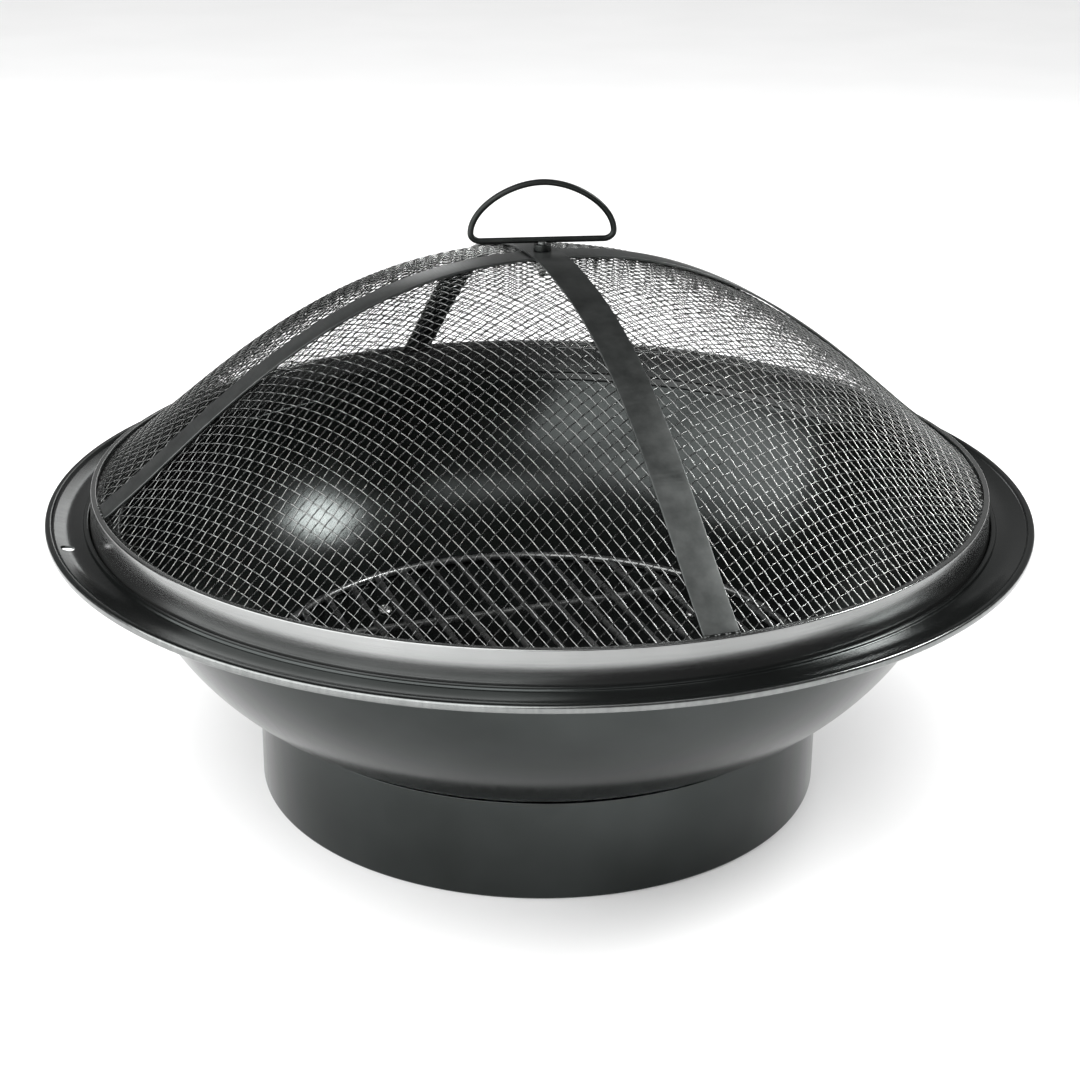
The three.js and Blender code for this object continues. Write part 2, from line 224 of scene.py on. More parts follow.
def round_bar_loop(path, radius, sides):
    """A round bar along a closed path of points."""
    points = [Vector(p) for p in path]
    count = len(points)
    vertices = []
    normal = None
    for k, p in enumerate(points):
        along = (points[(k + 1) % count] - points[k - 1]).normalized()
        if normal is None:
            normal = along.orthogonal().normalized()
        normal = (normal - along * normal.dot(along)).normalized()
        side = along.cross(normal)
        for j in range(sides):
            angle = 2 * math.pi * j / sides
            vertices.append(p + radius * (math.cos(angle) * normal + math.sin(angle) * side))
    return vertices, grid_faces(count, sides, True, True)


def bar(radius, half_length, sides):
    """A straight round bar along X with chamfered ends."""
    chamfer = radius * 0.3
    outline = [
        (0, -half_length),
        (radius - chamfer, -half_length),
        (radius, -half_length + chamfer),
        (radius, half_length - chamfer),
        (radius - chamfer, half_length),
        (0, half_length),
    ]
    return moved(turned(outline, sides), Matrix.Rotation(math.pi / 2, 4, "Y"))


def moved(part, matrix):
    """The part carried to a new place by a matrix."""
    vertices, faces = part
    return [matrix @ Vector(v) for v in vertices], faces


def joined(parts):
    """Several parts as one."""
    vertices, faces = [], []
    for part_vertices, part_faces in parts:
        start = len(vertices)
        vertices += list(part_vertices)
        faces += [tuple(start + index for index in face) for face in part_faces]
    return vertices, faces


def lump(centre, radii, seed):
    """A small uneven bead of weld."""
    random = Random(seed)
    shape = bmesh.new()
    bmesh.ops.create_icosphere(shape, subdivisions=3, radius=1)
    waves = [Vector([random.uniform(-3, 3) for _ in range(3)]) for _ in range(4)]
    phases = [random.uniform(0, 6) for _ in waves]
    vertices = []
    for v in shape.verts:
        swell = 1 + 0.07 * sum(math.sin(w.dot(v.co) + p) for w, p in zip(waves, phases))
        vertices.append(Vector(centre) + Vector([c * r * swell for c, r in zip(v.co, radii)]))
    faces = [tuple(v.index for v in f.verts) for f in shape.faces]
    shape.free()
    return vertices, faces


def about_z(degrees):
    """A turn about the fire pit's upright axis."""
    return Matrix.Rotation(math.radians(degrees), 4, "Z")


def smoothstep(x, start, end):
    """Rises softly from 0 at the start to 1 at the end."""
    t = np.clip((x - start) / (end - start), 0, 1)
    return t * t * (3 - 2 * t)


def make_mesh(name, part, sharp=35):
    """A smooth-shaded mesh with outward normals, which keeps edges past the sharp angle in degrees."""
    vertices, faces = part
    mesh = bpy.data.meshes.new(name)
    mesh.from_pydata(vertices, [], faces)
    shape = bmesh.new()
    shape.from_mesh(mesh)
    bmesh.ops.recalc_face_normals(shape, faces=shape.faces)
    shape.to_mesh(mesh)
    shape.free()
    mesh.shade_smooth()
    mesh.set_sharp_from_angle(angle=math.radians(sharp))
    return mesh


def add_piece(name, part, material, body, nodes=(), sharp=35):
    """A piece that rides on a body, takes the given finish and may stand for CAD nodes."""
    mesh = make_mesh(name, part, sharp)
    mesh.materials.append(material)
    piece = bpy.data.objects.new(name, mesh)
    bpy.context.scene.collection.objects.link(piece)
    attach(piece, body)
    if nodes:
        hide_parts(*nodes)


def with_holes(part, cutters):
    """Cuts closed parts out of a part."""
    body = bpy.data.objects.new("cut_body", make_mesh("cut_body", part))
    bpy.context.scene.collection.objects.link(body)
    tool = bpy.data.objects.new("cut_tool", make_mesh("cut_tool", joined(cutters)))
    bpy.context.scene.collection.objects.link(tool)
    modifier = body.modifiers.new("cut", "BOOLEAN")
    modifier.object = tool
    modifier.operation = "DIFFERENCE"
    modifier.solver = "EXACT"
    result = body.evaluated_get(bpy.context.evaluated_depsgraph_get()).to_mesh()
    vertices = [v.co.copy() for v in result.vertices]
    faces = [tuple(p.vertices) for p in result.polygons]
    bpy.data.objects.remove(body)
    bpy.data.objects.remove(tool)
    return vertices, faces


# ---- Materials ----

class Finish:
    """A node material on a Principled BSDF, with small helpers for its patterns in object space."""

    def __init__(self, name, metallic, specular=0.5):
        self.material = bpy.data.materials.new(name)
        self.material.use_nodes = True
        self.tree = self.material.node_tree
        self.shader = self.tree.nodes["Principled BSDF"]
        self.shader.inputs["Metallic"].default_value = metallic
        self.shader.inputs["Specular IOR Level"].default_value = specular
        self.place = self.node("ShaderNodeTexCoord").outputs["Object"]

    def node(self, kind, **inputs):
        """A new node with its inputs fed by name, an underscore for a space."""
        made = self.tree.nodes.new(kind)
        for key, value in inputs.items():
            self.feed(made.inputs[key.replace("_", " ")], value)
        return made

    def feed(self, socket, value):
        """Links another node's output to a socket, or sets the socket's own value."""
        if isinstance(value, bpy.types.NodeSocket):
            self.tree.links.new(value, socket)
        else:
            socket.default_value = value

    def math(self, operation, *values):
        made = self.tree.nodes.new("ShaderNodeMath")
        made.operation = operation
        for socket, value in zip(made.inputs, values):
            self.feed(socket, value)
        return made.outputs[0]

    def noise(self, scale, detail=2, roughness=0.5, vector=None):
        made = self.node("ShaderNodeTexNoise", Scale=scale, Detail=detail, Roughness=roughness)
        self.feed(made.inputs["Vector"], vector or self.place)
        return made.outputs["Fac"]

    def from_the_axis(self):
        """Object coordinates x, y and z, and the distance from the Z axis."""
        x, y, z = self.node("ShaderNodeSeparateXYZ", Vector=self.place).outputs
        squares = self.math("ADD", self.math("MULTIPLY", x, x), self.math("MULTIPLY", y, y))
        return x, y, z, self.math("SQRT", squares)

    def round_the_axis(self, around, outward, upward):
        """Coordinates that run around, away from and along the Z axis, each at its own scale."""
        x, y, z, reach = self.from_the_axis()
        cosine = self.math("DIVIDE", x, self.math("MAXIMUM", reach, 1 * MM))
        sine = self.math("DIVIDE", y, self.math("MAXIMUM", reach, 1 * MM))
        level = self.math("ADD", self.math("MULTIPLY", reach, outward), self.math("MULTIPLY", z, upward))
        joined_up = self.node("ShaderNodeCombineXYZ")
        self.feed(joined_up.inputs[0], self.math("MULTIPLY", cosine, around))
        self.feed(joined_up.inputs[1], self.math("MULTIPLY", sine, around))
        self.feed(joined_up.inputs[2], level)
        return joined_up.outputs[0]

    def between(self, fac, low_value, high_value):
        """Maps a 0.3 to 0.7 pattern onto a range of numbers."""
        made = self.node("ShaderNodeMapRange", Value=fac, From_Min=0.3, From_Max=0.7)
        made.inputs["To Min"].default_value = low_value
        made.inputs["To Max"].default_value = high_value
        return made.outputs["Result"]

    def beyond(self, start, end):
        """0 inside a radius about the Z axis, 1 outside another."""
        reach = self.from_the_axis()[-1]
        return self.node("ShaderNodeMapRange", Value=reach, From_Min=start, From_Max=end).outputs["Result"]

    def ramp(self, fac, dark, light):
        """Maps a 0.3 to 0.7 pattern onto a range of colours."""
        made = self.node("ShaderNodeValToRGB", Fac=fac)
        made.color_ramp.elements[0].position = 0.3
        made.color_ramp.elements[1].position = 0.7
        made.color_ramp.elements[0].color = (*dark, 1)
        made.color_ramp.elements[1].color = (*light, 1)
        return made.outputs["Color"]

    def mix(self, fac, first, second):
        """The first colour where fac is 0, the second where it's 1."""
        made = self.tree.nodes.new("ShaderNodeMix")
        made.data_type = "RGBA"
        colour_a, colour_b = [socket for socket in made.inputs if socket.type == "RGBA"]
        colour_out = [socket for socket in made.outputs if socket.type == "RGBA"][0]
        self.feed(made.inputs["Factor"], fac)
        self.feed(colour_a, first)
        self.feed(colour_b, second)
        return colour_out

    def average(self, first, second):
        """The mean of two patterns."""
        return self.math("ADD", self.math("MULTIPLY", first, 0.5), self.math("MULTIPLY", second, 0.5))

    def colours(self, fac, dark, light):
        """Colours the surface by a pattern."""
        self.feed(self.shader.inputs["Base Color"], self.ramp(fac, dark, light))

    def roughness(self, fac, smooth, rough):
        """Roughens the surface by a pattern."""
        self.feed(self.shader.inputs["Roughness"], self.between(fac, smooth, rough))

    def bump(self, *layers):
        """Stacks (height, distance) layers of fine relief."""
        normal = None
        for height, distance in layers:
            made = self.node("ShaderNodeBump", Height=height, Distance=distance, Strength=1.0)
            if normal is not None:
                self.feed(made.inputs["Normal"], normal)
            normal = made.outputs["Normal"]
        self.feed(self.shader.inputs["Normal"], normal)


def bowl_paint():
    """Satin black heat-proof paint: faint orange peel, press marks round the axis, and a painted reflection:
    a lighter band on the rolled bead's outer face.
    """
    finish = Finish("bowl_paint", metallic=0.9)
    marks = finish.noise(1.0, detail=4, vector=finish.round_the_axis(90, 25, 25))
    cloud = finish.noise(9, detail=4, roughness=0.6)
    # Painted reflection: the bead's outer face gets a lighter colour that stands in for the floor's
    # reflection.
    rim = finish.beyond(*RIM_PAINTED_REFLECTION)
    painted = finish.ramp(cloud, (0.027, 0.030, 0.029), (0.040, 0.044, 0.043))
    rim_reflection_colour = finish.ramp(marks, (0.14, 0.146, 0.143), (0.19, 0.196, 0.193))
    finish.feed(finish.shader.inputs["Base Color"], finish.mix(rim, painted, rim_reflection_colour))
    finish.roughness(finish.average(marks, cloud), 0.16, 0.24)
    finish.bump((finish.noise(420, detail=1), 0.012 * MM), (marks, 0.02 * MM))
    return finish.material


def skirt_paint():
    """The screen's rolled skirt: a little smoother than the bowl, with fine rolling lines round it."""
    finish = Finish("skirt_paint", metallic=0.95)
    lines = finish.noise(1.0, detail=5, vector=finish.round_the_axis(6, 0, 900))
    cloud = finish.noise(14, detail=3)
    finish.colours(cloud, (0.225, 0.230, 0.227), (0.27, 0.275, 0.272))
    finish.roughness(lines, 0.17, 0.25)
    finish.bump((finish.noise(380, detail=1), 0.01 * MM), (lines, 0.01 * MM))
    return finish.material


def strap_paint(name, azimuth, dark, light):
    """Satin paint on the straps and the handle: soft mottling, and a fine grain across their length."""
    finish = Finish(name, metallic=0.9)
    turn = finish.node("ShaderNodeMapping", Vector=finish.place, Rotation=(0, 0, -math.radians(azimuth)))
    grain_place = finish.node("ShaderNodeMapping", Vector=turn.outputs["Vector"], Scale=(1500, 60, 60))
    grain = finish.noise(1.0, detail=3, vector=grain_place.outputs["Vector"])
    cloud = finish.noise(45, detail=5, roughness=0.65)
    finish.colours(cloud, dark, light)
    finish.roughness(finish.average(grain, cloud), 0.28, 0.42)
    finish.bump((cloud, 0.05 * MM), (grain, 0.015 * MM))
    return finish.material


def wire_finish():
    """Drawn wire under a thin dark coat that is brighter where it is worn."""
    finish = Finish("screen_wire", metallic=1.0)
    worn = finish.noise(700, detail=3, roughness=0.7)
    finish.colours(worn, (0.115, 0.119, 0.116), (0.30, 0.305, 0.30))
    finish.roughness(worn, 0.17, 0.28)
    finish.bump((finish.noise(2600, detail=2), 0.02 * MM))
    return finish.material


def grate_finish():
    """Rod painted black over a rough drawn surface."""
    finish = Finish("grate_steel", metallic=0.9)
    scale = finish.noise(160, detail=5, roughness=0.7)
    finish.colours(scale, (0.15, 0.155, 0.153), (0.27, 0.275, 0.27))
    finish.roughness(scale, 0.20, 0.36)
    finish.bump((finish.noise(900, detail=3), 0.05 * MM), (scale, 0.08 * MM))
    return finish.material


def fixing_finish():
    """Dulled zinc-plated steel."""
    finish = Finish("fixing_steel", metallic=1.0)
    spangle = finish.noise(650, detail=3, roughness=0.6)
    finish.colours(spangle, (0.30, 0.305, 0.30), (0.46, 0.46, 0.45))
    finish.roughness(spangle, 0.26, 0.44)
    finish.bump((finish.noise(1800, detail=2), 0.02 * MM))
    return finish.material


def weld_finish():
    """Painted weld metal, rippled and a little glossy."""
    finish = Finish("weld_paint", metallic=0.9)
    ripple = finish.noise(1100, detail=3, roughness=0.6)
    finish.colours(ripple, (0.045, 0.048, 0.047), (0.11, 0.114, 0.112))
    finish.roughness(ripple, 0.22, 0.45)
    finish.bump((ripple, 0.12 * MM))
    return finish.material


BOWL_PAINT = bowl_paint()
SKIRT_PAINT = skirt_paint()
STRAP_COLOURS = ((0.068, 0.073, 0.071), (0.120, 0.126, 0.123))
HANDLE_COLOURS = ((0.014, 0.016, 0.015), (0.030, 0.032, 0.031))
UPPER_STRAP_PAINT = strap_paint("upper_strap_paint", STRAP_AZIMUTH, *STRAP_COLOURS)
LOWER_STRAP_PAINT = strap_paint("lower_strap_paint", STRAP_AZIMUTH + 90, *STRAP_COLOURS)
HANDLE_PAINT = strap_paint("handle_paint", HANDLE_AZIMUTH, *HANDLE_COLOURS)
WIRE_FINISH = wire_finish()
GRATE_FINISH = grate_finish()
FIXING_FINISH = fixing_finish()
WELD_FINISH = weld_finish()


# ---- Bowl ----

def wall_z(r, radius=WALL_RADIUS):
    """The height of the wall at a distance from the axis."""
    return WALL_CENTRE_Z - math.sqrt(radius ** 2 - (r - WALL_START) ** 2)


def wall_arc(radius, top_z, steps=56):
    """The wall's section from the floor's edge up to a height."""
    top_angle = math.degrees(math.asin((top_z - WALL_CENTRE_Z) / radius))
    return arc(WALL_START, WALL_CENTRE_Z, radius, -90, top_angle, steps)


def bead_arc(centre_x, start, end, steps):
    """The rolled bead's section: a circle squared off a little, so that its outer face is nearly upright."""
    points = []
    for i in range(steps + 1):
        angle = math.radians(start + (end - start) * i / steps)
        x = math.copysign(abs(math.cos(angle)) ** BEAD_SQUARENESS, math.cos(angle))
        z = math.copysign(abs(math.sin(angle)) ** BEAD_SQUARENESS, math.sin(angle))
        points.append((centre_x + BEAD_RADIUS * x, BEAD_Z + BEAD_RADIUS * z))
    return points


def bowl_outline():
    """The bowl's section: out along its underside, round the bead and back along its inside."""
    under = wall_arc(WALL_RADIUS, LEDGE_Z - SHEET)
    inside = wall_arc(WALL_RADIUS - SHEET, LEDGE_Z)[::-1]
    bead_x = RIM_RADIUS - BEAD_RADIUS
    crease_outside = CREASE_RADIUS + SHEET
    bead = bead_arc(bead_x, 205, 480, 44)
    return rounded(
        [(0, FLOOR_UNDER, 0)]
        + [(x, z, 0) for x, z in under[:-1]]
        + [
            (*under[-1], 3 * MM),
            (crease_outside, LEDGE_Z - SHEET, 2.6 * MM),
            (crease_outside, CREASE_Z - SHEET, 1.2 * MM),
            (DIP_RADIUS, DIP_Z - SHEET, 8 * MM),
        ]
        + [(x, z, 0) for x, z in bead]
        + [
            (bead_x - 3.2 * MM, BEAD_Z + 0.9 * MM, 1.5 * MM),
            (DIP_RADIUS, DIP_Z, 9 * MM),
            (CREASE_RADIUS + 4.4 * MM, CREASE_Z - 0.5 * MM, 1.0 * MM),
            (CREASE_RADIUS + 3.4 * MM, CREASE_Z + RIDGE_RISE, 1.2 * MM),
            (CREASE_RADIUS, CREASE_Z + RIDGE_RISE, 1.3 * MM),
            (CREASE_RADIUS, LEDGE_Z, 1.3 * MM),
            (*inside[0], 3 * MM),
        ]
        + [(x, z, 0) for x, z in inside[1:]]
        + [(0, FLOOR_UNDER + SHEET, 0)]
    )


FIXING_SLOPE = math.asin((FIXING_AT - WALL_START) / WALL_RADIUS)


def on_fixing(part, azimuth):
    """Places a part whose Z axis is the bolt's axis, with Z = 0 on the wall's outside surface."""
    place = Matrix.Translation((FIXING_AT, 0, wall_z(FIXING_AT))) @ Matrix.Rotation(-FIXING_SLOPE, 4, "Y")
    return moved(part, about_z(azimuth) @ place)


def plain_cylinder(radius, z_low, z_high, sides=48):
    """A cutter for round holes."""
    return turned([(0, z_low), (radius, z_low), (radius, z_high), (0, z_high)], sides)


def add_bowl():
    """The bowl, with its bolt holes and the hole in its flange."""
    holes = [on_fixing(plain_cylinder(BOLT_HOLE, -10 * MM, 10 * MM), azimuth) for azimuth in BRACKET_AZIMUTHS]
    flange_hole = plain_cylinder(FLANGE_HOLE["radius"], CREASE_Z - 10 * MM, CREASE_Z + 10 * MM)
    at_flange = about_z(FLANGE_HOLE["azimuth"]) @ Matrix.Translation((FLANGE_HOLE["at"], 0, 0))
    part = with_holes(turned(bowl_outline(), 256), [*holes, moved(flange_hole, at_flange)])
    add_piece("bowl", part, BOWL_PAINT, "base", ["fire_bowl"], sharp=30)


# ---- Base ring and its fixings ----

def add_base_ring():
    """The ring that the bowl stands on: an upright band turned in at its foot."""
    inner = BASE_RADIUS - SHEET
    foot = inner - FOOT_WIDTH
    section = rounded([
        (foot, 0, 0.5 * MM),
        (BASE_RADIUS, 0, 2.6 * MM),
        (BASE_RADIUS, BASE_TOP, 0.7 * MM),
        (inner, BASE_TOP, 0.7 * MM),
        (inner, SHEET, 1.2 * MM),
        (foot, SHEET, 0.5 * MM),
    ])
    part = turned(section, 256)
    add_piece("base_ring_skin", part, BOWL_PAINT, "base", ["base_ring"], sharp=40)


def extruded(outline, width, bevel):
    """A plate with an outline in X and Z, a width along Y, and bevelled long edges."""
    offsets = inset_outline(outline, bevel)
    rows = [
        [(x, -width / 2, z) for x, z in offsets],
        [(x, -width / 2 + bevel, z) for x, z in outline],
        [(x, width / 2 - bevel, z) for x, z in outline],
        [(x, width / 2, z) for x, z in offsets],
    ]
    count = len(outline)
    vertices = [v for row in rows for v in row]
    return vertices, grid_faces(4, count, False, True) + end_caps(4, count)


def inset_outline(outline, distance):
    """An outline drawn in by a distance, for an outline drawn anticlockwise or clockwise."""
    count = len(outline)
    area = sum(
        outline[k][0] * outline[(k + 1) % count][1] - outline[(k + 1) % count][0] * outline[k][1]
        for k in range(count)
    )
    turn = 1 if area > 0 else -1
    result = []
    for k in range(count):
        here = Vector(outline[k])
        tangent = (Vector(outline[(k + 1) % count]) - Vector(outline[k - 1])).normalized()
        result.append(tuple(here + turn * distance * Vector((-tangent.y, tangent.x))))
    return result


def bracket_part():
    """A bent strip: one leg under the bowl's wall, the other down the inside of the base ring."""
    tangent = math.tan(FIXING_SLOPE)
    thickness = BRACKET_SHEET / math.cos(FIXING_SLOPE)
    outside = BASE_RADIUS - SHEET - 3 * GAP
    inner_end = FIXING_AT - 14 * MM

    def underside(r):
        return wall_z(FIXING_AT) + (r - FIXING_AT) * tangent - GAP

    leg_end = underside(outside) - BRACKET_DROP
    outline = rounded([
        (inner_end, underside(inner_end), 0.4 * MM),
        (inner_end, underside(inner_end) - thickness, 0.4 * MM),
        (outside - BRACKET_SHEET, underside(outside) - thickness, 3 * MM),
        (outside - BRACKET_SHEET, leg_end, 0.4 * MM),
        (outside, leg_end, 0.4 * MM),
        (outside, underside(outside), 4.5 * MM),
    ])
    return extruded(outline, BRACKET_WIDTH, 0.4 * MM)


def threaded(radius, z_low, z_high, sides=32, rows_per_turn=6):
    """A screw shank with a helical thread and a chamfered tip at its low end."""
    rows = int((z_high - z_low) / THREAD_PITCH * rows_per_turn)
    vertices = []
    for i in range(rows + 1):
        z = z_low + (z_high - z_low) * i / rows
        for j in range(sides):
            turn = (z / THREAD_PITCH + j / sides) % 1
            depth = THREAD_DEPTH * abs(2 * turn - 1)
            tip = max(0, z_low + 1 * MM - z)
            r = radius - max(depth, tip)
            angle = 2 * math.pi * j / sides
            vertices.append((r * math.cos(angle), r * math.sin(angle), z))
    return vertices, grid_faces(rows + 1, sides, False, True) + end_caps(rows + 1, sides)


def nut_part(z_low, z_high, bore=BOLT_HOLE, steps=72):
    """A hexagon nut, chamfered at both faces so that its flats end in arcs."""
    flat = NUT_ACROSS_FLATS / 2
    chamfer_start = flat * 0.94
    slope = math.tan(math.radians(30))
    entry = 0.5 * MM
    vertices = []
    for k in range(steps):
        angle = 2 * math.pi * k / steps
        around = (math.degrees(angle) % 60) - 30
        reach = flat / math.cos(math.radians(around))
        drop = (reach - chamfer_start) * slope
        section = [
            (bore, z_low + entry),
            (bore + entry, z_low),
            (chamfer_start, z_low),
            (reach, z_low + drop),
            (reach, z_high - drop),
            (chamfer_start, z_high),
            (bore + entry, z_high),
            (bore, z_high - entry),
        ]
        vertices += [(r * math.cos(angle), r * math.sin(angle), z) for r, z in section]
    return vertices, grid_faces(steps, len(section), True, True)


def bolt_part():
    """A pan-head bolt: cross slot, domed head, flat underside and threaded shank."""
    seat = BOLT_SEAT
    skirt = seat + 1.4 * MM
    crown = seat + 3.4 * MM
    head = turned([
        (0, seat),
        *rounded([
            (BOLT_RADIUS - 0.2 * MM, seat, 0),
            (BOLT_HEAD_RADIUS, seat, 0.3 * MM),
            (BOLT_HEAD_RADIUS, skirt, 1.6 * MM),
            (BOLT_HEAD_RADIUS / 2, crown - 0.2 * MM, 1.6 * MM),
        ]),
        (0, crown),
    ], 64)
    slot_foot, slot_mouth, slot_top = 2.4 * MM, 2.9 * MM, seat + 5 * MM
    slot_outline = [(-slot_foot, skirt), (slot_foot, skirt), (slot_mouth, slot_top), (-slot_mouth, slot_top)]
    slot = extruded(slot_outline, width=1.1 * MM, bevel=0.01 * MM)
    for angle in (0, 90):
        head = with_holes(head, [moved(slot, about_z(angle))])
    return joined([head, threaded(BOLT_RADIUS, seat - BOLT_SHANK, seat + 0.1 * MM)])


def bracket_welds(number):
    """Two upright rows of weld where a bracket's edges meet the inside of the base ring."""
    bead = (1.9 * MM, 1.8 * MM, 2.6 * MM)
    lowest = wall_z(BASE_RADIUS) - BRACKET_DROP
    beads = []
    for side in (-1, 1):
        for k in range(5):
            centre = (BASE_RADIUS - SHEET - 4 * GAP, side * BRACKET_WIDTH / 2, lowest + k * 4 * MM)
            beads.append(lump(centre, bead, seed=100 * number + 10 * k + side))
    return joined(beads)


def add_fixings():
    """Four brackets welded to the base ring, each with a bolt and nut through the bowl's wall."""
    bolt = bolt_part()
    nut = nut_part(NUT_TOP - NUT_HEIGHT, NUT_TOP)
    hole = on_fixing(plain_cylinder(BOLT_HOLE, -12 * MM, 10 * MM), 0)
    bracket = with_holes(bracket_part(), [hole])
    for i, azimuth in enumerate(BRACKET_AZIMUTHS, start=1):
        turn = about_z(azimuth)
        for name, part, finish, slot in (
            ("bracket", moved(bracket, turn), BOWL_PAINT, "bowl_paint"),
            ("bolt", on_fixing(bolt, azimuth), FIXING_FINISH, "fixing_steel"),
            ("nut", on_fixing(nut, azimuth), FIXING_FINISH, "fixing_steel"),
        ):
            add_piece(f"{name}_{i}", part, finish, "base", [f"base_{name}_{i}"])
        add_piece(f"bracket_weld_{i}", moved(bracket_welds(i), turn), WELD_FINISH, "base")


# ---- Grate ----

def add_grate():
    """The hoop, the rods inside it and two cross bars under them, with their welds."""
    section = arc(GRATE_RADIUS, GRATE_Z, GRATE_RING_BAR, 0, 345, 23)
    add_piece("grate_hoop", turned(section, 192), GRATE_FINISH, "grate", ["grate_ring"])
    reach = (GRATE_RADIUS - GRATE_RING_BAR) * math.cos(math.pi / CAD_HOOP_SIDES) - GAP
    along = about_z(STRAP_AZIMUTH)
    welds = []
    for k in range(ROD_COUNT):
        offset = (k - (ROD_COUNT - 1) / 2) * ROD_PITCH
        half = math.sqrt(reach ** 2 - (abs(offset) + GRATE_ROD) ** 2)
        rod = moved(bar(GRATE_ROD, half, 20), along @ Matrix.Translation((0, offset, GRATE_Z)))
        name = f"{k + 1:02d}"
        add_piece(f"rod_{name}", rod, GRATE_FINISH, "grate", [f"grate_rod_{name}"])
        for side in (-1, 1):
            centre = (side * (half + 0.4 * MM), offset, GRATE_Z)
            welds.append(lump(centre, (2.6 * MM, 3.0 * MM, 2.7 * MM), seed=20 * k + side))
            if abs(offset) < CROSS_BAR_HALF:
                crossing = (side * CROSS_BAR_OFFSET, offset, GRATE_Z - GRATE_ROD - 0.1 * MM)
                welds.append(lump(crossing, (3.4 * MM, 2.6 * MM, 1.0 * MM), seed=500 + 20 * k + side))
    across = about_z(STRAP_AZIMUTH + 90)
    for i, side in ((1, 1), (2, -1)):
        place = across @ Matrix.Translation((0, side * CROSS_BAR_OFFSET, CROSS_BAR_Z))
        cross_bar = moved(bar(GRATE_RING_BAR, CROSS_BAR_HALF, 24), place)
        add_piece(f"cross_bar_{i}", cross_bar, GRATE_FINISH, "grate", [f"grate_cross_bar_{i}"])
    add_piece("grate_welds", moved(joined(welds), along), GRATE_FINISH, "grate")


# ---- Screen: skirt and hem ----

def add_skirt():
    """The upright band round the screen, with a narrow lip turned in at its top."""
    inner_top = SKIRT_TOP_RADIUS - SHEET
    outline = rounded([
        (SKIRT_FOOT_RADIUS, SKIRT_LOW, 0.6 * MM),
        (SKIRT_TOP_RADIUS, SKIRT_TOP, 1.1 * MM),
        (LIP_RADIUS, SKIRT_TOP, 0.6 * MM),
        (LIP_RADIUS, SKIRT_TOP - SHEET, 0.6 * MM),
        (inner_top, SKIRT_TOP - SHEET, 1.0 * MM),
        (SKIRT_FOOT_RADIUS - SHEET, SKIRT_LOW, 0.6 * MM),
    ])
    add_piece("skirt", turned(outline, 256), SKIRT_PAINT, "screen", ["screen_skirt"], sharp=50)


def add_hem():
    """The flat ring inside the skirt that holds the wire's edge up against the lip."""
    edge = 0.4 * MM
    inner = HEM_RADIUS - HEM_WIDTH
    section = rounded([
        (inner, HEM_LOW, edge),
        (HEM_RADIUS, HEM_LOW, edge),
        (HEM_RADIUS, HEM_TOP, edge),
        (inner, HEM_TOP, edge),
    ], steps=4)
    part = turned(section, 256)
    add_piece("hem", part, SKIRT_PAINT, "screen", ["screen_hem_ring"], sharp=50)


# ---- Screen: woven wire dome ----

def dome_z(r):
    """The height of the wire dome's middle surface, which runs out level under the skirt's lip."""
    share = np.minimum(np.asarray(r) / MESH_EDGE_RADIUS, 1)
    crown, fall = DOME_FULLNESS
    height = MESH_EDGE_Z + (MESH_APEX_Z - MESH_EDGE_Z) * (1 - share ** crown) ** fall
    lowered = height - MESH_HALF_DEPTH * smoothstep(r, *DOME_RUN_OUT)
    return np.maximum(lowered, MESH_EDGE_Z)


def dome_normal(x, y):
    """Unit normals of the dome's middle surface at arrays of x and y."""
    step = 0.5 * MM
    r = np.maximum(np.hypot(x, y), 1e-6)
    slope = (dome_z(r + step) - dome_z(np.maximum(r - step, 0))) / (2 * step)
    normal = np.stack([-slope * x / r, -slope * y / r, np.ones_like(r)], axis=-1)
    return normal / np.linalg.norm(normal, axis=-1, keepdims=True)


def woven_wire(index, azimuth, side_of_weave, sides=6):
    """One crimped wire over the dome: it passes over and under the wires that cross it."""
    offset = index * WIRE_PITCH
    reach = math.sqrt(WIRE_END_RADIUS ** 2 - offset ** 2)
    half_steps = int(reach / (WIRE_PITCH / 2))
    steps = np.arange(-half_steps, half_steps + 1)
    along = steps * WIRE_PITCH / 2
    cosine, sine = math.cos(math.radians(azimuth)), math.sin(math.radians(azimuth))
    x = cosine * along - sine * offset
    y = sine * along + cosine * offset
    crimp = WIRE_RADIUS * side_of_weave * np.cos(math.pi * (steps / 2 + index))
    centre = np.stack([x, y, dome_z(np.hypot(x, y))], axis=-1) + crimp[:, None] * dome_normal(x, y)
    tangent = np.gradient(centre, axis=0)
    tangent /= np.linalg.norm(tangent, axis=1, keepdims=True)
    across = np.array([-sine, cosine, 0.0])
    across = across - tangent * (tangent @ across)[:, None]
    across /= np.linalg.norm(across, axis=1, keepdims=True)
    outward = np.cross(tangent, across)
    rings = []
    for j in range(sides):
        angle = 2 * math.pi * j / sides
        rings.append(centre + WIRE_RADIUS * (math.cos(angle) * outward + math.sin(angle) * across))
    vertices = np.stack(rings, axis=1).reshape(-1, 3)
    count = len(steps)
    return vertices.tolist(), grid_faces(count, sides, False, True) + end_caps(count, sides)


def add_wire_dome():
    """All the wires, in four pieces: each way of the weave has two halves."""
    last = int(LAST_WIRE_OFFSET / WIRE_PITCH)
    warp, weft = WIRE_AZIMUTHS
    for azimuth, side_of_weave, way in ((warp, 1, "warp"), (weft, -1, "weft")):
        for half, indices in ((1, range(-last, 0)), (2, range(0, last + 1))):
            part = joined([woven_wire(i, azimuth, side_of_weave) for i in indices])
            name = f"{way}_wires_{half}"
            add_piece(name, part, WIRE_FINISH, "screen", ["screen_mesh"], sharp=70)


# ---- Screen: straps ----

def strap_underside(r, rise):
    """A strap's height over the dome. The upper one rises over the lower one where they cross."""
    climb = 1 - smoothstep(r, CROSSING_FLAT, CROSSING_RADIUS)
    return dome_z(r) + STRAP_LIFT + rise * climb


